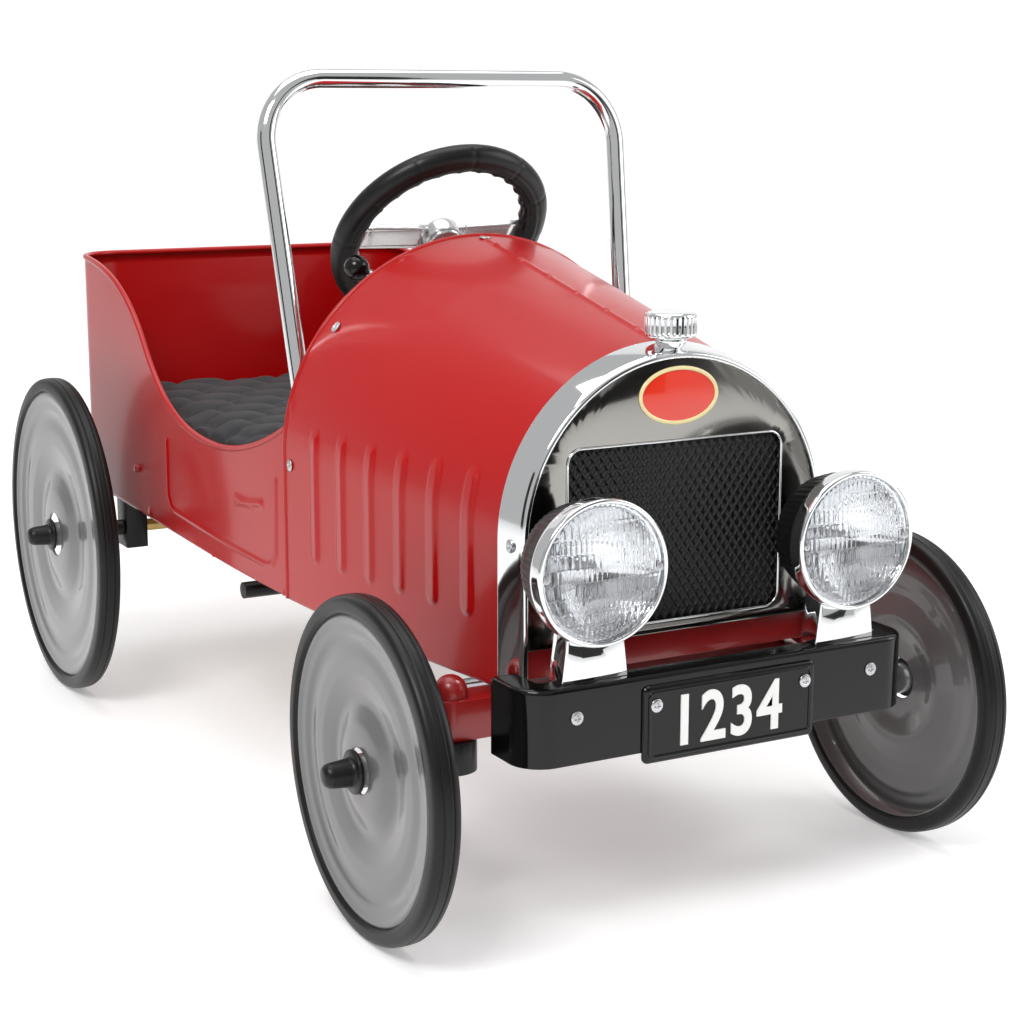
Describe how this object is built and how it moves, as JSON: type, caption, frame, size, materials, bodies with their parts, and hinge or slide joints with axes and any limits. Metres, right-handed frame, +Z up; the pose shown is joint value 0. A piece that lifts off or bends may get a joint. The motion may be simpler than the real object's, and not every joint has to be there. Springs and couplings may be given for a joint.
{
  "type": "pedal car",
  "caption": "Vintage-style pressed-steel ride-on pedal car with steering, chain-free crank drive, open windscreen and padded seat.",
  "frame": {"origin": "on the ground, at the middle of the overall length and width", "axes": "+X to the car's left side, the front faces -Y, +Z up"},
  "size_m": [0.448, 0.822, 0.5],
  "materials": {
    "body_red": "high gloss red enamel",
    "chassis_red": "dark red enamel",
    "chrome": "polished",
    "dark_chrome": "smoked polish",
    "grille_black": "black",
    "enamel": "enamel badge",
    "black_plastic": "satin",
    "gloss_black": "gloss",
    "black_steel": "satin black",
    "white_plastic": "white",
    "lens": "fluted",
    "mirror": "reflector",
    "nylon": "natural",
    "wood": "varnished plywood",
    "fabric": "charcoal, tufted",
    "zinc": "zinc plated",
    "yellow_zinc": "yellow zinc",
    "screw_steel": "nickel",
    "silver_plastic": "silver",
    "tyre": "solid rubber",
    "wheel_grey": "grey metallic"
  },
  "bodies": {
    "chassis": {"tub": "body_red", "bonnet": "body_red", "dash_panel": "body_red", "radiator_shell": "chrome", "radiator_panel": "dark_chrome", "grille_mesh": "grille_black", "badge": "enamel", "radiator_cap": "chrome", "radiator_neck": "chrome", "front_cross_panel": "chassis_red", "windscreen_frame": "chrome", "windscreen_clamps": "black_plastic", "bumper": "gloss_black", "bumper_brackets": "black_steel", "number_plate": "gloss_black", "plate_digits": "white_plastic", "lamp_pedestals": "chrome", "lamp_housings": "black_plastic", "lamp_bezels": "chrome", "lamp_lenses": "lens", "lamp_reflectors": "mirror", "chassis_rails": "chassis_red", "outriggers": "black_plastic", "front_beam": "chassis_red", "bushes": "nylon", "column_bracket": "chassis_red", "axle_blocks": "black_plastic", "seat_ledges": "chassis_red", "seat_board": "wood", "seat_cushion": "fabric", "pedal_rod": "zinc", "pedal_brackets": "chassis_red", "screws": "screw_steel"},
    "steering": {"steering_rim": "black_plastic", "steering_spokes": "silver_plastic", "steering_column": "zinc"},
    "lever": {"gear_lever": "chrome", "gear_knob": "gloss_black"},
    "steer_right": {"knuckle_right": "black_plastic", "hub_cap_front_right": "black_plastic"},
    "steer_left": {"knuckle_left": "black_plastic", "hub_cap_front_left": "black_plastic"},
    "tie": {"tie_rod": "zinc"},
    "front_wheel_right": {"tyre_front_right": "tyre", "disc_front_right": "wheel_grey"},
    "front_wheel_left": {"tyre_front_left": "tyre", "disc_front_left": "wheel_grey"},
    "rear_wheel_left": {"tyre_rear_left": "tyre", "disc_rear_left": "wheel_grey"},
    "crank": {"crank_axle": "yellow_zinc", "tyre_rear_right": "tyre", "disc_rear_right": "wheel_grey", "hub_cap_rear_right": "black_plastic", "hub_cap_rear_left": "black_plastic"},
    "rod_right": {"conrod_right": "zinc"},
    "rod_left": {"conrod_left": "zinc"},
    "arm_right": {"pedal_arm_right": "chassis_red"},
    "arm_left": {"pedal_arm_left": "chassis_red"},
    "foot_right": {"pedal_right": "black_plastic"},
    "foot_left": {"pedal_left": "black_plastic"}
  },
  "joints": [
    {"name": "steering_turn", "type": "hinge", "parent": "chassis", "child": "steering", "pos_m": [0, -0.0255, 0.385], "axis": [0, 0.7615, 0.6481], "range_deg": [-25, 25]},
    {"name": "gear_lever_swing", "type": "hinge", "parent": "chassis", "child": "lever", "pos_m": [-0.048, -0.0922, 0.35], "axis": [0, 1, 0], "range_deg": [-15, 15]},
    {"name": "kingpin_right", "type": "hinge", "parent": "chassis", "child": "steer_right", "pos_m": [-0.139, -0.3095, 0.1015], "axis": [0, 0, 1], "range_deg": [-24, 24]},
    {"name": "kingpin_left", "type": "hinge", "parent": "chassis", "child": "steer_left", "pos_m": [0.139, -0.3095, 0.1015], "axis": [0, 0, 1], "range_deg": [-24, 24]},
    {"name": "tie_rod_pivot", "type": "hinge", "parent": "steer_right", "child": "tie", "pos_m": [-0.139, -0.2525, 0.125], "axis": [0, 0, 1], "range_deg": [-24, 24]},
    {"name": "front_right_spin", "type": "hinge", "parent": "steer_right", "child": "front_wheel_right", "pos_m": [-0.1915, -0.3095, 0.1015], "axis": [1, 0, 0], "continuous": true},
    {"name": "front_left_spin", "type": "hinge", "parent": "steer_left", "child": "front_wheel_left", "pos_m": [0.1915, -0.3095, 0.1015], "axis": [1, 0, 0], "continuous": true},
    {"name": "rear_left_spin", "type": "hinge", "parent": "chassis", "child": "rear_wheel_left", "pos_m": [0.1945, 0.2825, 0.1285], "axis": [1, 0, 0], "continuous": true},
    {"name": "crank_spin", "type": "hinge", "parent": "chassis", "child": "crank", "pos_m": [0, 0.2825, 0.1285], "axis": [1, 0, 0], "continuous": true},
    {"name": "rod_right_pivot", "type": "hinge", "parent": "crank", "child": "rod_right", "pos_m": [-0.03, 0.28418, 0.16046], "axis": [1, 0, 0], "continuous": true},
    {"name": "rod_left_pivot", "type": "hinge", "parent": "crank", "child": "rod_left", "pos_m": [0.03, 0.28082, 0.09654], "axis": [1, 0, 0], "continuous": true},
    {"name": "pedal_arm_right_swing", "type": "hinge", "parent": "chassis", "child": "arm_right", "pos_m": [-0.04, -0.1275, 0.318], "axis": [1, 0, 0], "range_deg": [-11, 11]},
    {"name": "pedal_arm_left_swing", "type": "hinge", "parent": "chassis", "child": "arm_left", "pos_m": [0.04, -0.1275, 0.318], "axis": [1, 0, 0], "range_deg": [-11, 11]},
    {"name": "pedal_right_turn", "type": "hinge", "parent": "arm_right", "child": "foot_right", "pos_m": [-0.066, -0.1275, 0.15], "axis": [1, 0, 0], "continuous": true},
    {"name": "pedal_left_turn", "type": "hinge", "parent": "arm_left", "child": "foot_left", "pos_m": [0.066, -0.1275, 0.15], "axis": [1, 0, 0], "continuous": true}
  ],
  "couplings": [
    {"joint": "kingpin_right", "follows": "steering_turn", "ratio": 0.95},
    {"joint": "kingpin_left", "follows": "steering_turn", "ratio": 0.95},
    {"joint": "tie_rod_pivot", "follows": "steering_turn", "ratio": -0.95},
    {"joint": "rod_right_pivot", "follows": "crank_spin", "ratio": -1},
    {"joint": "rod_left_pivot", "follows": "crank_spin", "ratio": -1},
    {"joint": "pedal_arm_left_swing", "follows": "pedal_arm_right_swing", "ratio": -1}
  ]
}
